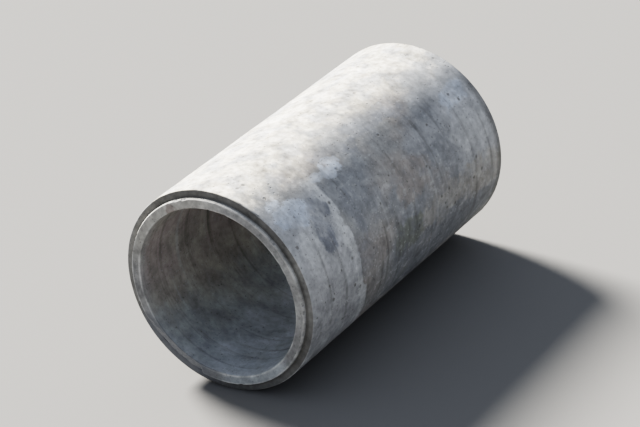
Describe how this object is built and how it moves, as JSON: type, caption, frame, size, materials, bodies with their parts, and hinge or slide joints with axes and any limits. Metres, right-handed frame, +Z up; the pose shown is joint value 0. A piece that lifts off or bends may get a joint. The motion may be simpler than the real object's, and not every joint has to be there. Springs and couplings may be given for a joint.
{
  "type": "concrete culvert pipe",
  "caption": "Plain-ended round concrete culvert pipe with a rebated flush joint: a spigot tongue at one end and a socket rebate at the other.",
  "frame": {"origin": "on the ground line under the middle of the pipe's overall length, tongue included", "axes": "+Y along the pipe from the spigot end to the socket end, +Z up"},
  "size_m": [1.44, 2.53, 1.44],
  "materials": {
    "concrete": "weathered spun concrete"
  },
  "bodies": {
    "root": {"concrete_pipe": "concrete"}
  },
  "joints": []
}
